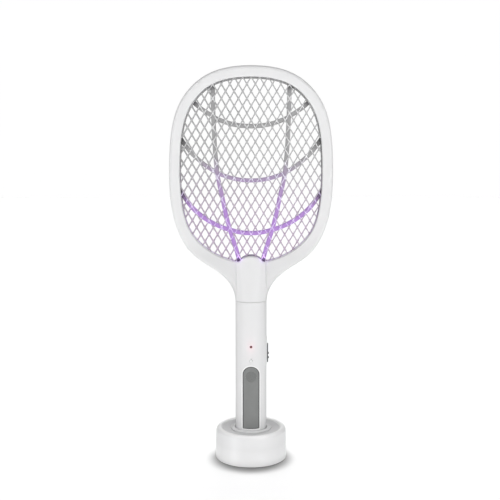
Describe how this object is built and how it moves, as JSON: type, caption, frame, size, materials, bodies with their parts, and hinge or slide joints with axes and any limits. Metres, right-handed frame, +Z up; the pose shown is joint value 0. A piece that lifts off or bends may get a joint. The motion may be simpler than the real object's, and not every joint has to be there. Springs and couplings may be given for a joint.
{
  "type": "electric fly swatter",
  "caption": "Racket-shaped electric fly swatter with diamond guard meshes, a high-voltage grid between them and a round handle, standing upright in a round charging dock.",
  "frame": {"origin": "centre of the charging dock on the surface it stands on", "axes": "+Z up along the handle, -Y is the front with the grip inlay and the button, +X is the side with the mode slider"},
  "size_m": [0.189, 0.084, 0.4573],
  "materials": {
    "white_plastic": "satin-gloss moulded ABS",
    "pale_grey_plastic": "satin moulded ABS",
    "foot_rubber": "matte moulded rubber",
    "screw_steel": "zinc plated",
    "ballast_iron": "plain",
    "circuit_board": "green solder resist",
    "lamp_board": "white solder resist",
    "inlet_steel": "tinned steel",
    "gilt_brass": "gilt",
    "contact_nickel": "nickel plated",
    "grip_grey": "soft-touch, fine grain",
    "button_grey": "soft-touch",
    "slider_grey": "satin",
    "switch_black": "moulded",
    "red_led": "clear tinted resin, lit",
    "clear_window": "frosted clear",
    "transformer_tape": "polyester tape",
    "capacitor_red": "dipped resin",
    "cell_wrap": "shrink sleeve",
    "mesh_metal": "stamped sheet, satin",
    "web_grey": "translucent grey moulding",
    "uv_lens": "clear resin, violet glow",
    "lead_red": "PVC sleeve",
    "lead_black": "PVC sleeve",
    "lead_white": "PVC sleeve"
  },
  "bodies": {
    "dock": {"dock_housing": "white_plastic", "socket_trim_ring": "pale_grey_plastic", "dock_base_plate": "pale_grey_plastic", "rubber_foot_1": "foot_rubber", "rubber_foot_2": "foot_rubber", "rubber_foot_3": "foot_rubber", "rubber_foot_4": "foot_rubber", "base_screw_1": "screw_steel", "base_screw_2": "screw_steel", "base_screw_3": "screw_steel", "ballast_ring": "ballast_iron", "charging_board": "circuit_board", "usb_inlet": "inlet_steel", "pin_barrel_left": "gilt_brass", "pin_barrel_right": "gilt_brass"},
    "charge_pin_left": {"charge_pin_left": "gilt_brass"},
    "charge_pin_right": {"charge_pin_right": "gilt_brass"},
    "swatter": {"handle_front_shell": "white_plastic", "handle_rear_shell": "white_plastic", "handle_screw_1": "screw_steel", "handle_screw_2": "screw_steel", "handle_end_cap": "white_plastic", "charge_contact_left": "contact_nickel", "charge_contact_right": "contact_nickel", "grip_inlay": "grip_grey", "zap_switch": "switch_black", "status_led": "red_led", "light_sensor_window": "clear_window", "switch_bezel": "white_plastic", "mode_switch": "inlet_steel", "main_circuit_board": "circuit_board", "hv_transformer": "transformer_tape", "hv_capacitor": "capacitor_red", "battery_cell": "cell_wrap", "battery_spring_contact": "contact_nickel", "battery_top_contact": "contact_nickel", "head_front_frame": "white_plastic", "head_rear_frame": "white_plastic", "head_screw_1": "screw_steel", "head_screw_2": "screw_steel", "head_screw_3": "screw_steel", "head_screw_4": "screw_steel", "head_screw_5": "screw_steel", "front_guard_mesh": "mesh_metal", "rear_guard_mesh": "mesh_metal", "hv_grid": "mesh_metal", "front_spacer_web": "web_grey", "rear_spacer_web": "web_grey", "uv_led_board": "lamp_board", "uv_led_1": "uv_lens", "uv_led_2": "uv_lens", "uv_led_3": "uv_lens", "uv_led_4": "uv_lens", "grid_lead": "lead_red", "guard_lead": "lead_black", "uv_lead": "lead_white"},
    "zap_button": {"zap_button": "button_grey"},
    "mode_slider": {"mode_slider": "slider_grey"}
  },
  "joints": [
    {"name": "swatter_lift", "type": "slide", "parent": "dock", "child": "swatter", "axis": [0, 0, 1], "range_m": [0, 0.04]},
    {"name": "zap_button_press", "type": "slide", "parent": "swatter", "child": "zap_button", "axis": [0, 1, 0], "range_m": [0, 0.001], "stiffness_N_per_m": 600},
    {"name": "mode_slider_slide", "type": "slide", "parent": "swatter", "child": "mode_slider", "axis": [0, 0, 1], "range_m": [0, 0.006]},
    {"name": "charge_pin_left_press", "type": "slide", "parent": "dock", "child": "charge_pin_left", "axis": [0, 0, -1], "range_m": [0, 0.001], "stiffness_N_per_m": 300},
    {"name": "charge_pin_right_press", "type": "slide", "parent": "dock", "child": "charge_pin_right", "axis": [0, 0, -1], "range_m": [0, 0.001], "stiffness_N_per_m": 300}
  ]
}
